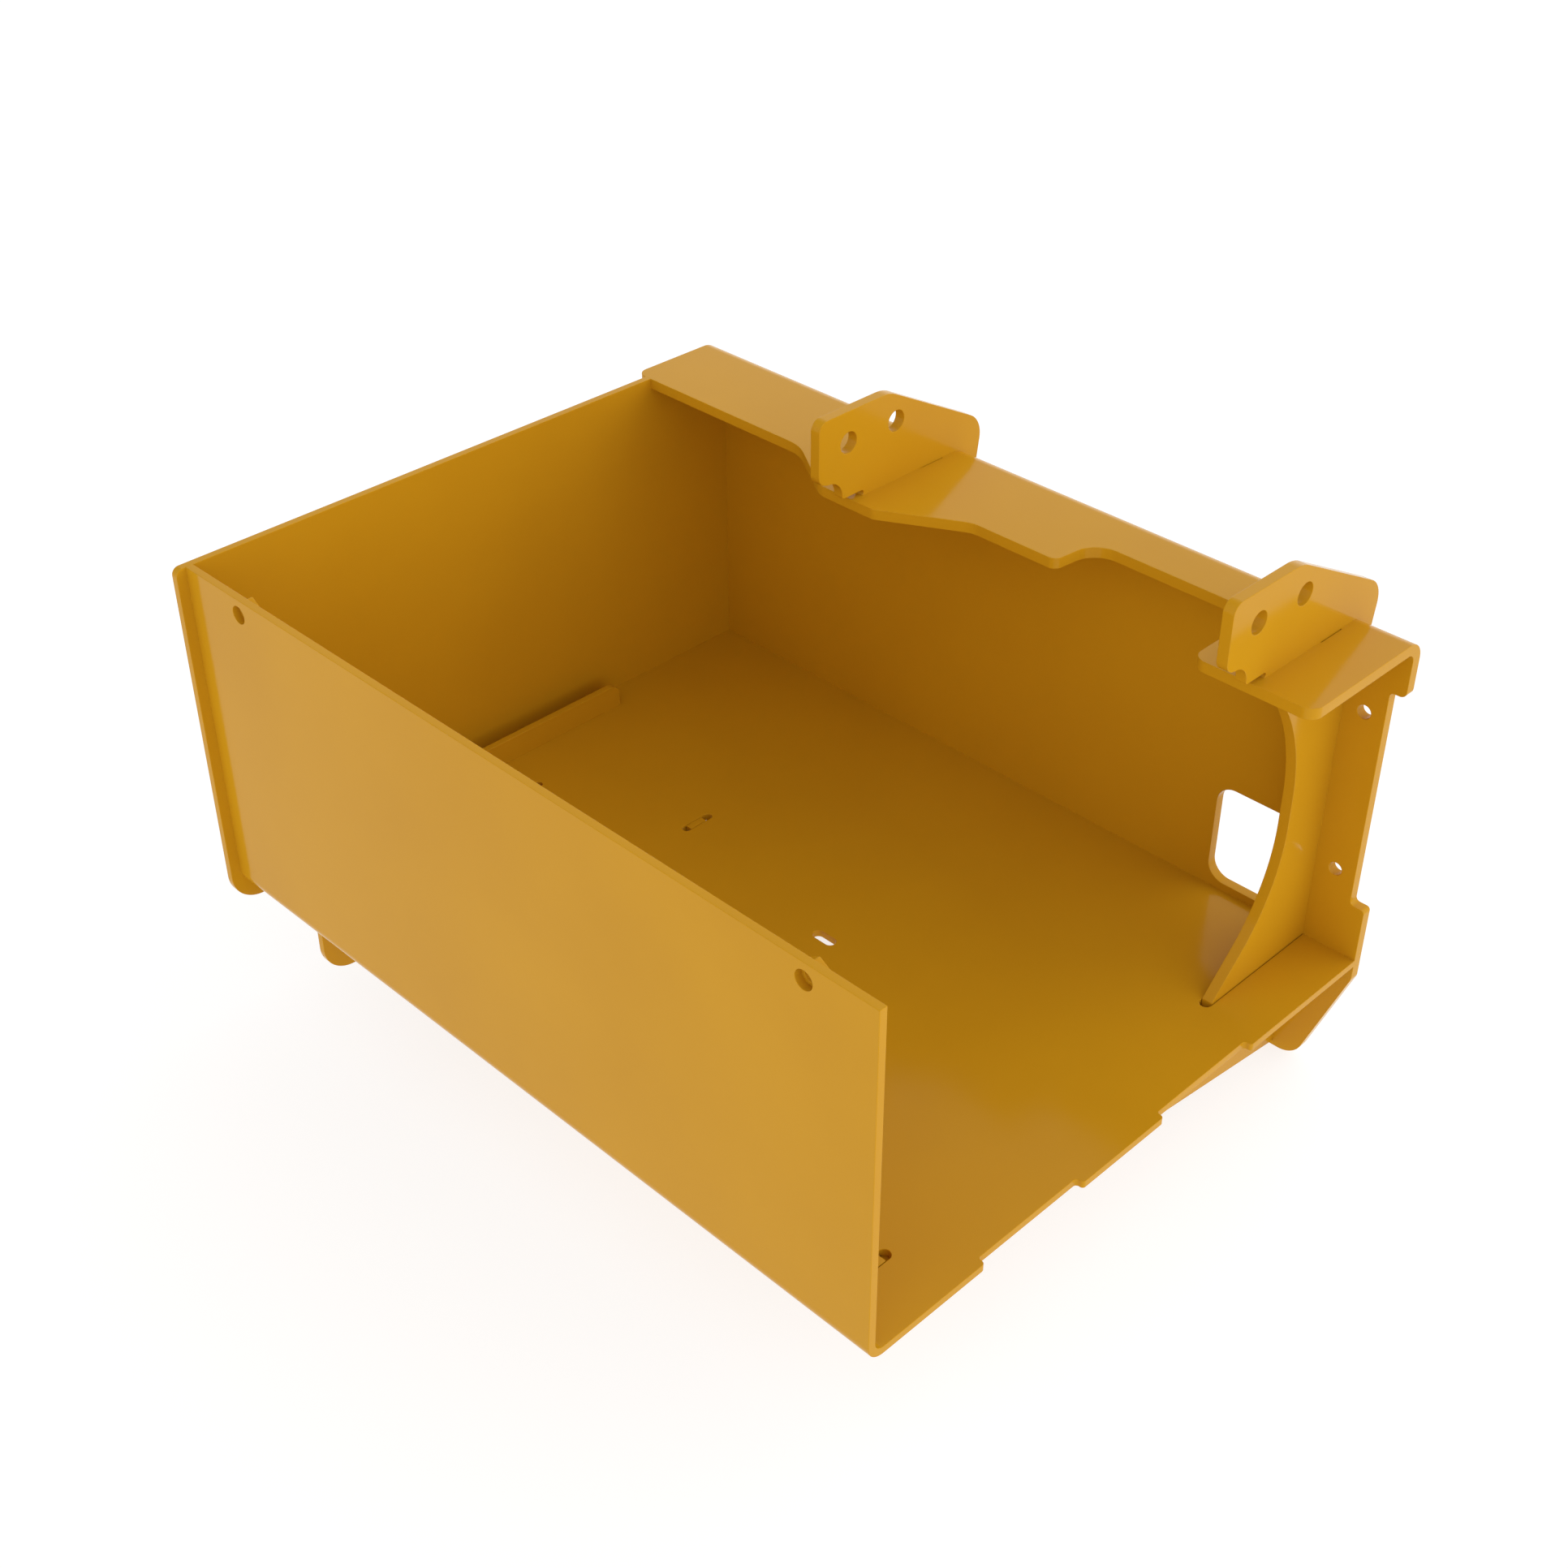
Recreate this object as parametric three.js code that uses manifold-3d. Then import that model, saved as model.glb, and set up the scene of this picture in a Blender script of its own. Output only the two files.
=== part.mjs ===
// Open-topped weldment of bent and flat steel sheet: closed left end, open right end.
// Millimetres, +Z up, +X towards the open end, +Y towards the tall back wall.
// Dimensions are laid out from the left plate's outer face (x), the front wall's outer
// face (y) and the floor's underside (z), and the whole part is centred at the end.
import * as THREE from 'three';
import * as BufferGeometryUtils from 'three/addons/utils/BufferGeometryUtils.js';
import Module from 'manifold-3d';

const wasm = await Module();
wasm.setup();

// ---- driving dimensions -------------------------------------------------------------
const GAP = 0.3;              // assembly gap between separate pieces
const THIN = 6;               // front sheet, floor, end plate and ribs
const THICK = 8.5;            // back sheet, ears and gusset

const RIGHT = 660.6;          // right edge of both bent sheets
const BACK_LEFT = -11.2;      // left end of the back sheet
const TOP = 276.7;            // top of the front wall and of the flange
const BOTTOM = -109.2;        // lowest edge, on the back wall's apron
const BACK_Y = 515;           // front face of the back wall
const FLANGE_Z = TOP - THICK; // underside of the top flange
const EAR_TOP = 349.4;
const EAR_REAR = 537.9;

const FRONT_BEND_R = 13.5;    // outer radius, front wall to floor
const BACK_BEND_R = 15.7;     // outer radius, back wall to flange

const EAR_X = [255.6, 607.3]; // left face of each ear
const GUSSET_X = 607.2;
const PLATE_X = -0.4;         // outer face of the left end plate
const NUT_X = [67.5, 605];    // welded nuts behind the front wall
const NUT_Z = 264.2;
const NUT_HOLE_R = 6.75;
const NUT_WIDTH = 16;         // across flats, one corner up
const NUT_DEPTH = 6.5;
const NUT_THREAD_R = 4.3;

const RIB_LEFT_X = 67.3;
const RIB_MIDDLE_X = 196.4;
const RIB_RIGHT_X = 600.2;

// ---- outlines -----------------------------------------------------------------------
// Points along an arc, fine enough that its facets stay within 0.03 mm.
function arcPoints(u, v, radius, from, to, clockwise = false) {
  const turn = clockwise ? from - to : to - from;
  const sweep = THREE.MathUtils.euclideanModulo(turn, 2 * Math.PI);
  const step = Math.min(Math.PI / 24, 2 * Math.acos(1 - 0.03 / Math.max(radius, 1)));
  const count = Math.max(3, Math.ceil(sweep / step));
  return new THREE.EllipseCurve(u, v, radius, radius, from, to, clockwise).getPoints(count);
}

// The rounding of one corner between its two neighbours.
function cornerPoints(previous, corner, next) {
  const at = new THREE.Vector2(corner[0], corner[1]);
  const radius = corner[2] ?? 0;
  if (radius === 0) return [at];
  const back = new THREE.Vector2(previous[0], previous[1]).sub(at).normalize();
  const ahead = new THREE.Vector2(next[0], next[1]).sub(at).normalize();
  const half = Math.acos(THREE.MathUtils.clamp(back.dot(ahead), -1, 1)) / 2;
  const centre = back.clone().add(ahead).setLength(radius / Math.sin(half)).add(at);
  const start = back.clone().multiplyScalar(radius / Math.tan(half)).add(at).sub(centre);
  const end = ahead.clone().multiplyScalar(radius / Math.tan(half)).add(at).sub(centre);
  const clockwise = back.cross(ahead) > 0;
  return arcPoints(centre.x, centre.y, radius, start.angle(), end.angle(), clockwise);
}

// Closed shape through corners given as [u, v] or [u, v, rounding radius].
function roundedShape(corners) {
  const count = corners.length;
  const points = corners.flatMap((corner, i) => cornerPoints(
    corners[(i + count - 1) % count],
    corner,
    corners[(i + 1) % count],
  ));
  return new THREE.Shape(points);
}

function rectangle(u0, u1, v0, v1, radius = 0) {
  return roundedShape([
    [u0, v0, radius],
    [u1, v0, radius],
    [u1, v1, radius],
    [u0, v1, radius],
  ]);
}

function circle(u, v, radius) {
  const shape = new THREE.Shape();
  shape.absarc(u, v, radius, 0, 2 * Math.PI, false);
  return shape;
}

function regularPolygon(u, v, acrossFlats, sides) {
  const radius = acrossFlats / 2 / Math.cos(Math.PI / sides);
  const points = [];
  for (let i = 0; i < sides; i += 1) {
    const angle = i * 2 * Math.PI / sides;
    points.push(new THREE.Vector2(u + radius * Math.cos(angle), v + radius * Math.sin(angle)));
  }
  return new THREE.Shape(points);
}

// ---- solids -------------------------------------------------------------------------
function toSolid(geometry) {
  geometry.deleteAttribute('normal');
  geometry.deleteAttribute('uv');
  const merged = BufferGeometryUtils.mergeVertices(geometry, 1e-5);
  return new wasm.Manifold(new wasm.Mesh({
    numProp: 3,
    vertProperties: new Float32Array(merged.attributes.position.array),
    triVerts: new Uint32Array(merged.index.array),
  }));
}

// Extrusion of a shape from low to high along its own third axis.
function extrude(shape, low, high) {
  const geometry = new THREE.ExtrudeGeometry(shape, {
    depth: high - low,
    bevelEnabled: false,
    curveSegments: 20,
  });
  return geometry.translate(0, 0, low);
}

// A shape drawn in (y, z) and extruded along x.
function alongX(shape, low, high) {
  const turn = new THREE.Matrix4().set(0, 0, 1, 0, 1, 0, 0, 0, 0, 1, 0, 0, 0, 0, 0, 1);
  return toSolid(extrude(shape, low, high).applyMatrix4(turn));
}

// A shape drawn in (z, x) and extruded along y.
function alongY(shape, low, high) {
  const turn = new THREE.Matrix4().set(0, 1, 0, 0, 0, 0, 1, 0, 1, 0, 0, 0, 0, 0, 0, 1);
  return toSolid(extrude(shape, low, high).applyMatrix4(turn));
}

// A shape drawn in (x, y) and extruded along z.
function alongZ(shape, low, high) {
  return toSolid(extrude(shape, low, high));
}

function cut(blank, cutters) {
  return cutters.reduce((solid, cutter) => solid.subtract(cutter), blank);
}

// ---- front wall and floor: one bent sheet ---------------------------------------------
const FLOOR_BACK = BACK_Y - GAP;
const RECESS_X = 654.8;
const RECESS_CORNER_R = 2.6;
const FLOOR_RECESSES = [[105.5, 202], [287.3, 387]];
const RIB_SLOTS = [
  [RIB_LEFT_X - GAP, RIB_LEFT_X + THIN + GAP, 213.2, 242.5],
  [RIB_MIDDLE_X - 0.4, RIB_MIDDLE_X + THIN + GAP, 279.6, 308.9],
  [GUSSET_X - GAP, GUSSET_X + THICK + 0.6, 41.7, 71],
];
const GUSSET_SLOT_START = 396.5;

function frontSheetProfile() {
  return roundedShape([
    [0, TOP],
    [0, 0, FRONT_BEND_R],
    [FLOOR_BACK, 0],
    [FLOOR_BACK, THIN],
    [THIN, THIN, FRONT_BEND_R - THIN],
    [THIN, TOP],
  ]);
}

// Recess in the right edge where an end plate would sit. Its inner corners and the
// corners of the tabs beside it are rounded.
function edgeRecess(start, end) {
  return roundedShape([
    [RIGHT + 5, start - 5],
    [RIGHT + 5, end + 5],
    [RIGHT, end + 5],
    [RIGHT, end, RECESS_CORNER_R],
    [RECESS_X, end, RECESS_CORNER_R],
    [RECESS_X, start, RECESS_CORNER_R],
    [RIGHT, start, RECESS_CORNER_R],
    [RIGHT, start - 5],
  ]);
}

// Slot with relief bulbs at both ends.
function reliefSlot(x0, x1, y0, y1) {
  const middle = (x0 + x1) / 2;
  const radius = (x1 - x0) / 2;
  const body = alongZ(rectangle(x0, x1, y0 + radius, y1 - radius), -5, THIN + 5);
  const bulbs = [y0 + radius, y1 - radius];
  return bulbs.reduce((slot, y) => slot.add(alongZ(circle(middle, y, radius), -5, THIN + 5)), body);
}

function drainSlot() {
  return alongZ(rectangle(359.6, 380.4, 257.6, 266.7, 4.5), -5, THIN + 5);
}

function frontWallAndFloor() {
  const sheet = alongX(frontSheetProfile(), PLATE_X + THIN + GAP, RIGHT);
  const cutters = [drainSlot()];
  for (const x of NUT_X) cutters.push(alongY(circle(NUT_Z, x, NUT_HOLE_R), -5, THIN + 5));
  for (const [start, end] of FLOOR_RECESSES) cutters.push(alongZ(edgeRecess(start, end), -5, THIN + 5));
  for (const [x0, x1, y0, y1] of RIB_SLOTS) cutters.push(reliefSlot(x0, x1, y0, y1));
  cutters.push(reliefSlot(GUSSET_X - GAP, GUSSET_X + THICK + 0.6, GUSSET_SLOT_START, BACK_Y + 20));
  return cut(sheet, cutters);
}

// ---- back wall and top flange: one bent sheet -----------------------------------------
const WALL_RECESS_X = 648.6;
const WALL_RECESS_Z = [51.3, 231.9];
const EDGE_HOLE_X = 632.3;
const EDGE_HOLE_Z = [74.8, 208.8];
const EDGE_HOLE_R = 5.3;
const OPENING = [528.4, 596, 12.5, 97.5];
const EAR_TAB_Y = [471, 494];

function backSheetProfile() {
  return roundedShape([
    [380, TOP],
    [380, FLANGE_Z],
    [BACK_Y, FLANGE_Z, BACK_BEND_R - THICK],
    [BACK_Y, BOTTOM],
    [BACK_Y + THICK, BOTTOM],
    [BACK_Y + THICK, TOP, BACK_BEND_R],
  ]);
}

// Flange seen from above: a pad that reaches forward under each ear, and a
// deep cut-out between the two pads.
function flangeShape() {
  return roundedShape([
    [BACK_LEFT, 560],
    [BACK_LEFT, 432.6, 10],
    [174.8, 432.6, 40],
    [229.6, 397, 20],
    [283.6, 397, 9],
    [348.3, 432.6, 25],
    [424.2, 432.6, 7],
    [428.6, 472.4, 21],
    [566.8, 472.4, 21],
    [566.8, 396.8, 10],
    [RIGHT, 396.8, 10],
    [RIGHT, 560],
  ]);
}

// Back wall drawn in (z, x): end-plate recess on the right edge, tapered apron below.
function wallShape() {
  return roundedShape([
    [320, BACK_LEFT],
    [320, RIGHT],
    [WALL_RECESS_Z[1], RIGHT, 5],
    [WALL_RECESS_Z[1], WALL_RECESS_X, 3.5],
    [WALL_RECESS_Z[0], WALL_RECESS_X, 3.5],
    [WALL_RECESS_Z[0], RIGHT, 3],
    [-12, RIGHT, 10],
    [BOTTOM, 625.5, 20],
    [BOTTOM, 24.4, 20],
    [-12, BACK_LEFT, 10],
  ]);
}

function earSlot(x) {
  const [front, back] = EAR_TAB_Y;
  return alongZ(rectangle(x - GAP, x + THICK + 0.6, front - 0.5, back + 0.5), FLANGE_Z - 5, TOP + 5);
}

function backWallAndFlange() {
  const sheet = alongX(backSheetProfile(), BACK_LEFT - 5, RIGHT + 5);
  const trim = alongZ(flangeShape(), FLANGE_Z - 5, TOP + 5)
    .subtract(alongZ(rectangle(BACK_LEFT - 20, RIGHT + 20, 505, 600), FLANGE_Z - 10, TOP + 10))
    .add(alongY(wallShape(), 505, 540));
  const cutters = EAR_X.map(earSlot);
  for (const z of EDGE_HOLE_Z) cutters.push(alongY(circle(z, EDGE_HOLE_X, EDGE_HOLE_R), 505, 540));
  const [x0, x1, z0, z1] = OPENING;
  cutters.push(alongY(rectangle(z0, z1, x0, x1, 15), 505, 540));
  return cut(sheet.intersect(trim), cutters);
}

// ---- end plate and ribs ---------------------------------------------------------------
const PLATE_FRONT = -8.1;
const PLATE_BOTTOM = -17;
const PLATE_BACK = BACK_Y - GAP;
const UNDER_FLOOR = -GAP;
const INNER_CORNER_R = BACK_BEND_R - THICK - GAP;

function leftEndPlate() {
  const shape = roundedShape([
    [PLATE_FRONT, TOP, 6],
    [PLATE_FRONT, PLATE_BOTTOM, 25],
    [PLATE_BACK, PLATE_BOTTOM],
    [PLATE_BACK, FLANGE_Z - GAP, INNER_CORNER_R],
    [432.3, FLANGE_Z - GAP],
    [432.3, TOP],
  ]);
  return alongX(shape, PLATE_X, PLATE_X + THIN);
}

function innerLowRib() {
  const shape = roundedShape([
    [THIN + GAP, 26.8],
    [THIN + GAP, 14],
    [14, THIN + GAP],
    [364, THIN + GAP],
    [364, 26.8, 10],
  ]);
  return alongX(shape, 22.9, 28.9);
}

// Rib under the floor that deepens towards the back wall; its tab comes up
// through a slot and ends flush with the floor.
function underFloorRib(x, thickness, corners, tab) {
  const [tabFront, tabBack] = tab;
  const shape = roundedShape([
    ...corners,
    [tabBack, UNDER_FLOOR],
    [tabBack, THIN],
    [tabFront, THIN],
    [tabFront, UNDER_FLOOR],
  ]);
  return alongX(shape, x, x + thickness);
}

function ribLeft() {
  const corners = [
    [21.4, UNDER_FLOOR],
    [21.4, -63.1, 25],
    [PLATE_BACK, -107.8],
    [PLATE_BACK, UNDER_FLOOR],
  ];
  return underFloorRib(RIB_LEFT_X, THIN, corners, [218.6, 234.6]);
}

function ribMiddle() {
  const corners = [
    [30, UNDER_FLOOR],
    [30, -34, 16],
    [PLATE_BACK, -107.8],
    [PLATE_BACK, UNDER_FLOOR],
  ];
  return underFloorRib(RIB_MIDDLE_X, THIN, corners, [285, 301]);
}

function ribRight() {
  const shape = roundedShape([
    [60, UNDER_FLOOR],
    [60, -42, 25],
    [PLATE_BACK, -106],
    [PLATE_BACK, UNDER_FLOOR],
  ]);
  return alongX(shape, RIB_RIGHT_X, RIB_RIGHT_X + THIN);
}

// ---- gusset ---------------------------------------------------------------------------
const GUSSET_TOE = 402.6;
const GUSSET_WAIST = 468.7;
const GUSSET_STRIP = -30;

// Plate with a hollow front edge: a slanted toe, a waist and a forward-reaching top.
function gussetShape() {
  const top = FLANGE_Z - GAP;
  return roundedShape([
    [PLATE_BACK, GUSSET_STRIP],
    [PLATE_BACK, top, INNER_CORNER_R],
    [412.4, top],
    [GUSSET_WAIST, 222.3, 151],
    [GUSSET_WAIST, 72.8, 129],
    [GUSSET_TOE, THIN + 0.7],
    [GUSSET_TOE, UNDER_FLOOR],
    [63.7, UNDER_FLOOR],
    [63.7, THIN],
    [47.7, THIN],
    [47.7, UNDER_FLOOR],
    [40, UNDER_FLOOR],
    [40, GUSSET_STRIP],
  ]);
}

function gusset() {
  return alongX(gussetShape(), GUSSET_X, GUSSET_X + THICK);
}

// ---- ears -----------------------------------------------------------------------------
const EAR_FRONT = 361.3;
const EAR_HOLES = [391.6, 441.7];
const EAR_HOLE_Z = 324.8;
const EAR_HOLE_R = 8.3;
const NOTCH = { y: 371.5, z: 283.5, radius: 14.5 };
const SLIT = { y: 406, z: 278.9, radius: 2.4 };

// Upright lug that sits on the flange, hooks over the bend and lies on the back
// face of the wall; a tab drops through the flange, and a slit under the nose
// keeps the front part clear of the pad.
function earShape() {
  const seat = TOP + GAP;
  const wall = BACK_Y + THICK + GAP;
  const upper = roundedShape([
    [SLIT.y, 330],
    [EAR_FRONT, 330],
    [EAR_FRONT, EAR_TOP, 8.3],
    [434.9, EAR_TOP, 30],
    [EAR_REAR + 1.85, 293.3, 22],
    [wall, 176],
    [wall, seat, BACK_BEND_R + GAP],
    [EAR_TAB_Y[1], seat],
    [EAR_TAB_Y[1], FLANGE_Z],
    [EAR_TAB_Y[0], FLANGE_Z],
    [EAR_TAB_Y[0], seat],
    [SLIT.y, seat],
  ]).getPoints().slice(2);
  const slitStart = Math.asin((seat - SLIT.z) / SLIT.radius);
  const points = [
    ...upper.slice(0, -1),
    ...arcPoints(SLIT.y, SLIT.z, SLIT.radius, slitStart, Math.PI / 2),
    ...arcPoints(388.2, 283.5, 2.2, -Math.PI / 2, -Math.PI, true),
    ...arcPoints(NOTCH.y, NOTCH.z, NOTCH.radius, 0, Math.PI / 2).slice(1),
    ...arcPoints(370.3, 307.5, 9, -Math.PI / 2, -Math.PI, true),
  ];
  return new THREE.Shape(points);
}

function ear(x) {
  const holes = EAR_HOLES.map((y) => alongX(circle(y, EAR_HOLE_Z, EAR_HOLE_R), x - 5, x + THICK + 5));
  return cut(alongX(earShape(), x, x + THICK), holes);
}

// ---- welded nuts ------------------------------------------------------------------------
function weldNut(x) {
  const back = THIN + GAP;
  const body = alongY(regularPolygon(NUT_Z, x, NUT_WIDTH, 6), back, back + NUT_DEPTH);
  return body.subtract(alongY(circle(NUT_Z, x, NUT_THREAD_R), back - 5, back + NUT_DEPTH + 5));
}

// ---- assembly ---------------------------------------------------------------------------
const CENTRE = new THREE.Vector3(
  (BACK_LEFT + RIGHT) / 2,
  (PLATE_FRONT + EAR_REAR) / 2,
  BOTTOM,
);
const PAINT = { color: 0xe39a1f, roughness: 0.28, metalness: 0.0 };
const group = new THREE.Group();

function addPiece(name, solid) {
  const mesh = solid.getMesh();
  const geometry = new THREE.BufferGeometry();
  geometry.setAttribute('position', new THREE.BufferAttribute(mesh.vertProperties, 3));
  geometry.setIndex(new THREE.BufferAttribute(mesh.triVerts, 1));
  geometry.translate(-CENTRE.x, -CENTRE.y, -CENTRE.z);
  const flat = geometry.toNonIndexed();
  flat.computeVertexNormals();
  const piece = new THREE.Mesh(flat, new THREE.MeshStandardMaterial(PAINT));
  piece.name = name;
  group.add(piece);
}

addPiece('front_wall_and_floor', frontWallAndFloor());
addPiece('back_wall_and_top_flange', backWallAndFlange());
addPiece('left_end_plate', leftEndPlate());
addPiece('inner_low_rib', innerLowRib());
addPiece('underfloor_rib_left', ribLeft());
addPiece('underfloor_rib_middle', ribMiddle());
addPiece('underfloor_rib_right', ribRight());
addPiece('gusset', gusset());
addPiece('ear_left', ear(EAR_X[0]));
addPiece('ear_right', ear(EAR_X[1]));
addPiece('weld_nut_left', weldNut(NUT_X[0]));
addPiece('weld_nut_right', weldNut(NUT_X[1]));

export default group;
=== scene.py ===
"""Open-topped sheet-steel box weldment in glossy yellow-orange paint, on a white studio floor."""

import math

import bmesh
import bpy
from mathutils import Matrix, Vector


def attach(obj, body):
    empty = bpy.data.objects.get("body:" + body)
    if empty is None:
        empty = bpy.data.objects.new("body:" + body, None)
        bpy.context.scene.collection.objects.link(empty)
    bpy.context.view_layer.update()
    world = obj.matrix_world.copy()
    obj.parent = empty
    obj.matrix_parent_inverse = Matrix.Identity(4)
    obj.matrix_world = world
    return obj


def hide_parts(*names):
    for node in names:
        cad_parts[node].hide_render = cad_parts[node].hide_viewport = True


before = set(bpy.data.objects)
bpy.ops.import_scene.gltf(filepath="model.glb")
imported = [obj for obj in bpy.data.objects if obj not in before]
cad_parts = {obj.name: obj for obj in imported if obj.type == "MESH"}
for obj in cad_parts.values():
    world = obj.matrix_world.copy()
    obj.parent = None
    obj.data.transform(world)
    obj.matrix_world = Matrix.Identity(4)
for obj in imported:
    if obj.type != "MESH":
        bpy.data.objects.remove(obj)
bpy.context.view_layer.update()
scene = bpy.context.scene

# Lengths are in metres, and in millimetres where a comment says so.
EDGE_ROUNDING = 0.0004
ROUNDED_ABOVE = math.radians(28)
FLAT_WITHIN = math.radians(0.4)
WELDED_WITHIN = 1e-6

# How far a face that meets a neighbour is moved, and how exactly its place is known.
SEAT_DEPTH = 0.0008
SEAT_TOLERANCE = 2e-5
BEND_TOLERANCE = 3e-5
BEND_END = 1e-4

# Where the frame's origin lies in the layout that the places below are measured in, and the
# place and radius of the ears' hollow over the flange's bend in that layout (mm).
LAYOUT = Vector((0.3247, 0.2649, -0.1092))
BEND_Y, BEND_Z, BEND_R = 507.8, 261.0, 16.0

# Faces that meet a neighbour: axis, place in the layout (mm), and the neighbour's side.
SEATS = {
    "front_wall_and_floor": [("x", 5.9, -1), ("y", 514.7, 1)],
    "back_wall_and_top_flange": [],
    "left_end_plate": [("y", 514.7, 1), ("z", 267.9, 1), ("y", 432.3, 1)],
    "inner_low_rib": [("z", 6.3, -1), ("y", 6.3, -1)],
    "underfloor_rib_left": [("z", -0.3, 1), ("y", 514.7, 1)],
    "underfloor_rib_middle": [("z", -0.3, 1), ("y", 514.7, 1)],
    "underfloor_rib_right": [("z", -0.3, 1), ("y", 514.7, 1)],
    "gusset": [("y", 514.7, 1), ("z", 267.9, 1)],
    "ear_left": [("z", 277.0, -1), ("y", 523.8, -1)],
    "ear_right": [("z", 277.0, -1), ("y", 523.8, -1)],
    "weld_nut_left": [("y", 6.3, -1)],
    "weld_nut_right": [("y", 6.3, -1)],
}

# The camera looks along the corner diagonal, from its place in the layout.
CAMERA_PLACE = Vector((1.22796, -0.63722, 1.02267))
CAMERA_DIRECTION = Vector((-1, 1, -1))
LENS_MM, SENSOR_MM = 50, 36
NEAR, FAR = 0.05, 60
FRAME_SHIFT = 0.00026

# The paint's two close shades (linear), gloss range, and orange peel.
PAINT_DARK = (0.545, 0.264, 0.009, 1)
PAINT_LIGHT = (0.573, 0.282, 0.0095, 1)
PAINT_ROUGHNESS = (0.10, 0.16)
PAINT_IOR = 1.19
PEEL_HEIGHT = 0.0002
PEEL_STRENGTH = 0.10

# The floor reaches this far each way, and lies this far under the part. It glows a little.
FLOOR_REACH = 9
FLOOR_DROP = 0.0005
FLOOR_GREY = 0.3
FLOOR_GLOW = 0.78

# Strength of the even light from everywhere, and of each soft light by its direction.
AMBIENT = 0.32
SOFT_LIGHTS = [((1, 0, 0), 0.82), ((0, 1, 0), 1.50), ((0, -1, 0), 0.82)]


# ---- camera -----------------------------------------------------------------------
def make_camera():
    data = bpy.data.cameras.new("camera")
    data.lens = LENS_MM
    data.sensor_width = SENSOR_MM
    data.clip_start, data.clip_end = NEAR, FAR
    data.shift_x, data.shift_y = -FRAME_SHIFT, FRAME_SHIFT
    camera = bpy.data.objects.new("camera", data)
    camera.location = CAMERA_PLACE - LAYOUT
    camera.rotation_euler = CAMERA_DIRECTION.to_track_quat("-Z", "Y").to_euler()
    scene.collection.objects.link(camera)
    scene.camera = camera


# ---- materials --------------------------------------------------------------------
class Nodes:
    """A material's node tree with short calls for adding and joining nodes."""

    def __init__(self, name):
        self.material = bpy.data.materials.new(name)
        self.material.use_nodes = True
        self.tree = self.material.node_tree
        self.shader = self.tree.nodes["Principled BSDF"]

    def add(self, kind, **inputs):
        node = self.tree.nodes.new(kind)
        for key, value in inputs.items():
            node.inputs[key.replace("_", " ")].default_value = value
        return node

    def join(self, source, target):
        self.tree.links.new(source, target)


def paint_material():
    """Glossy paint with faint clouds of shade, patches of duller gloss, and fine orange peel."""
    m = Nodes("paint")
    where = m.add("ShaderNodeTexCoord").outputs["Object"]

    cloud = m.add("ShaderNodeTexNoise", Scale=7.0, Detail=3.0, Roughness=0.55)
    m.join(where, cloud.inputs["Vector"])
    tint = m.add("ShaderNodeValToRGB")
    tint.color_ramp.elements[0].position = 0.3
    tint.color_ramp.elements[0].color = PAINT_DARK
    tint.color_ramp.elements[1].position = 0.7
    tint.color_ramp.elements[1].color = PAINT_LIGHT
    m.join(cloud.outputs["Fac"], tint.inputs["Fac"])
    m.join(tint.outputs["Color"], m.shader.inputs["Base Color"])

    sheen = m.add("ShaderNodeTexNoise", Scale=38.0, Detail=4.0, Roughness=0.6)
    m.join(where, sheen.inputs["Vector"])
    gloss = m.add("ShaderNodeMapRange", From_Min=0.3, From_Max=0.7)
    gloss.inputs["To Min"].default_value, gloss.inputs["To Max"].default_value = PAINT_ROUGHNESS
    m.join(sheen.outputs["Fac"], gloss.inputs["Value"])
    m.join(gloss.outputs["Result"], m.shader.inputs["Roughness"])

    peel = m.add("ShaderNodeTexNoise", Scale=420.0, Detail=2.0, Roughness=0.5)
    m.join(where, peel.inputs["Vector"])
    bump = m.add("ShaderNodeBump", Strength=PEEL_STRENGTH, Distance=PEEL_HEIGHT)
    m.join(peel.outputs["Fac"], bump.inputs["Height"])
    m.join(bump.outputs["Normal"], m.shader.inputs["Normal"])
    m.shader.inputs["IOR"].default_value = PAINT_IOR
    return m.material


def floor_material():
    m = Nodes("studio_floor")
    m.shader.inputs["Base Color"].default_value = (FLOOR_GREY, FLOOR_GREY, FLOOR_GREY, 1)
    m.shader.inputs["Roughness"].default_value = 0.9
    m.shader.inputs["Specular IOR Level"].default_value = 0.0
    m.shader.inputs["Emission Color"].default_value = (1, 1, 1, 1)
    m.shader.inputs["Emission Strength"].default_value = FLOOR_GLOW
    return m.material


# ---- painted sheet pieces -----------------------------------------------------------
def seat_faces(shape, node):
    """Closes the CAD's gap to each neighbour, as a weld would: the face runs into the neighbour."""
    for axis, level, way in SEATS[node]:
        index = "xyz".index(axis)
        level = level / 1000 - LAYOUT[index]
        for vertex in shape.verts:
            if abs(vertex.co[index] - level) < SEAT_TOLERANCE:
                vertex.co[index] += way * SEAT_DEPTH
    if node.startswith("ear"):
        seat_round_bend(shape)


def seat_round_bend(shape):
    """Does the same where an ear hooks over the flange's bend."""
    centre = Vector((0, BEND_Y / 1000 - LAYOUT.y, BEND_Z / 1000 - LAYOUT.z))
    for vertex in shape.verts:
        arm = Vector((0, vertex.co.y - centre.y, vertex.co.z - centre.z))
        on_bend = abs(arm.length - BEND_R / 1000) < BEND_TOLERANCE
        if on_bend and arm.y > BEND_END and arm.z > BEND_END:
            vertex.co -= arm.normalized() * SEAT_DEPTH


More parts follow.
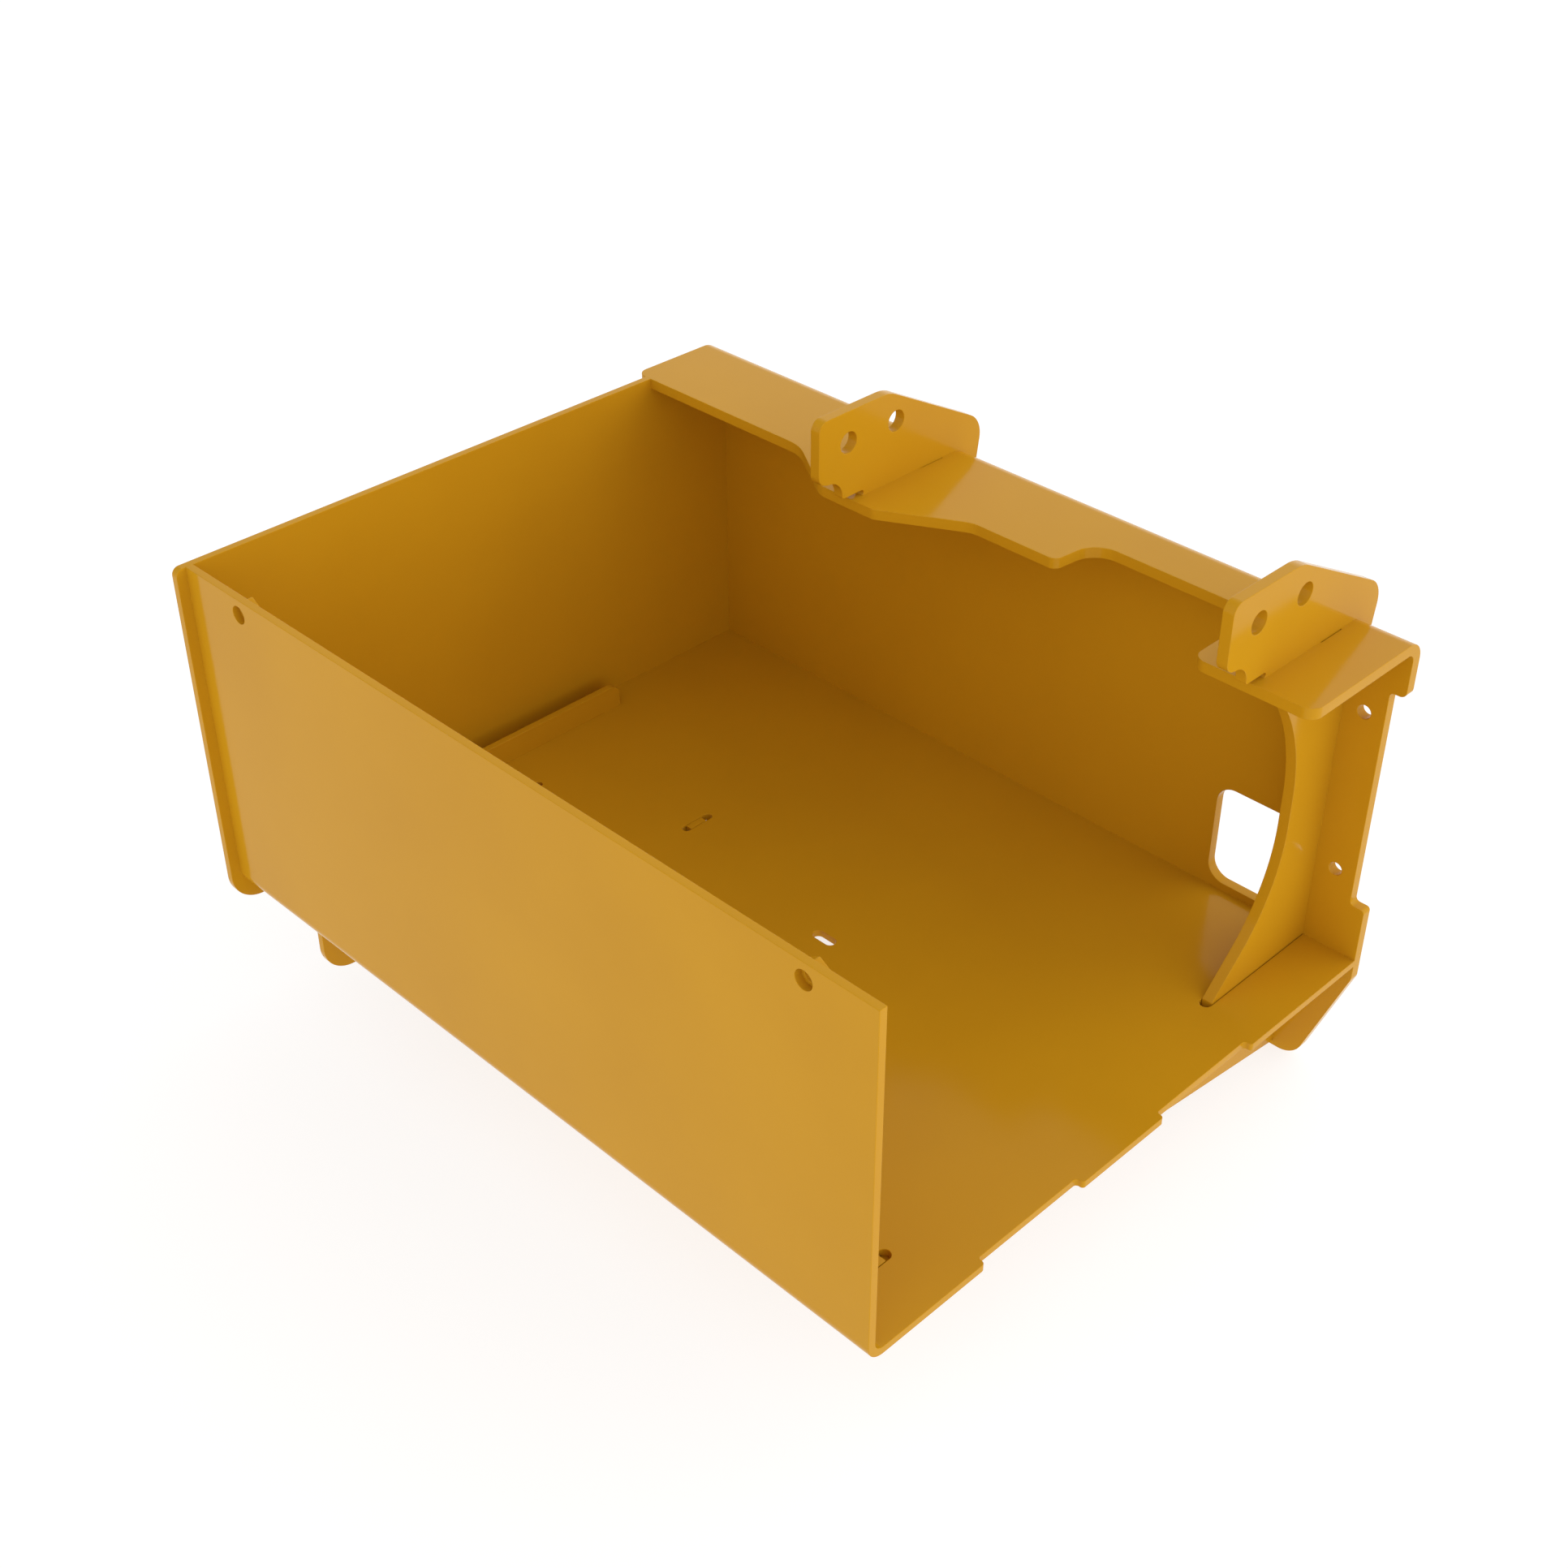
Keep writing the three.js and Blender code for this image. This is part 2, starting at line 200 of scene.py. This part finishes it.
def painted_copy(node, material):
    """The CAD node with the small rounding that cut edges have under their paint."""
    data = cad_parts[node].data.copy()
    shape = bmesh.new()
    shape.from_mesh(data)
    bmesh.ops.remove_doubles(shape, verts=shape.verts, dist=WELDED_WITHIN)
    seat_faces(shape, node)
    bmesh.ops.dissolve_limit(
        shape, angle_limit=FLAT_WITHIN, verts=shape.verts, edges=shape.edges)
    shape.to_mesh(data)
    shape.free()
    piece = bpy.data.objects.new("painted_" + node, data)
    scene.collection.objects.link(piece)
    data.materials.clear()
    data.materials.append(material)
    rounding = piece.modifiers.new("edge_rounding", "BEVEL")
    rounding.width = EDGE_ROUNDING
    rounding.segments = 2
    rounding.limit_method = "ANGLE"
    rounding.angle_limit = ROUNDED_ABOVE
    rounding.use_clamp_overlap = False
    rounding.loop_slide = False
    data.polygons.foreach_set("use_smooth", [True] * len(data.polygons))
    normals = piece.modifiers.new("flat_faces", "WEIGHTED_NORMAL")
    normals.keep_sharp = True
    normals.weight = 100
    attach(piece, "root")
    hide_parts(node)


# ---- studio -------------------------------------------------------------------------
def make_floor():
    data = bpy.data.meshes.new("studio_floor")
    corners = [(x * FLOOR_REACH, y * FLOOR_REACH, 0) for x, y in ((-1, -1), (1, -1), (1, 1), (-1, 1))]
    data.from_pydata(corners, [], [(0, 1, 2, 3)])
    floor = bpy.data.objects.new("studio_floor", data)
    floor.location.z = -FLOOR_DROP
    data.materials.append(floor_material())
    scene.collection.objects.link(floor)


def make_light():
    """Even white light all round, with broad soft lights added towards some sides."""
    world = bpy.data.worlds.new("studio")
    world.use_nodes = True
    tree = world.node_tree
    direction = tree.nodes.new("ShaderNodeTexCoord").outputs["Generated"]
    strength = None
    for towards, amount in SOFT_LIGHTS:
        facing = tree.nodes.new("ShaderNodeVectorMath")
        facing.operation = "DOT_PRODUCT"
        facing.inputs[1].default_value = towards
        lobe = tree.nodes.new("ShaderNodeMath")
        lobe.operation = "MAXIMUM"
        lobe.inputs[1].default_value = 0.0
        total = tree.nodes.new("ShaderNodeMath")
        total.operation = "MULTIPLY_ADD"
        total.inputs[1].default_value = amount
        total.inputs[2].default_value = AMBIENT
        tree.links.new(direction, facing.inputs[0])
        tree.links.new(facing.outputs["Value"], lobe.inputs[0])
        tree.links.new(lobe.outputs["Value"], total.inputs[0])
        if strength:
            tree.links.new(strength, total.inputs[2])
        strength = total.outputs["Value"]
    tree.links.new(strength, tree.nodes["Background"].inputs["Strength"])
    tree.nodes["Background"].inputs["Color"].default_value = (1, 1, 1, 1)
    scene.world = world
    scene.view_settings.view_transform = "Standard"


make_camera()
make_light()
make_floor()
paint = paint_material()
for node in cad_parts:
    painted_copy(node, paint)
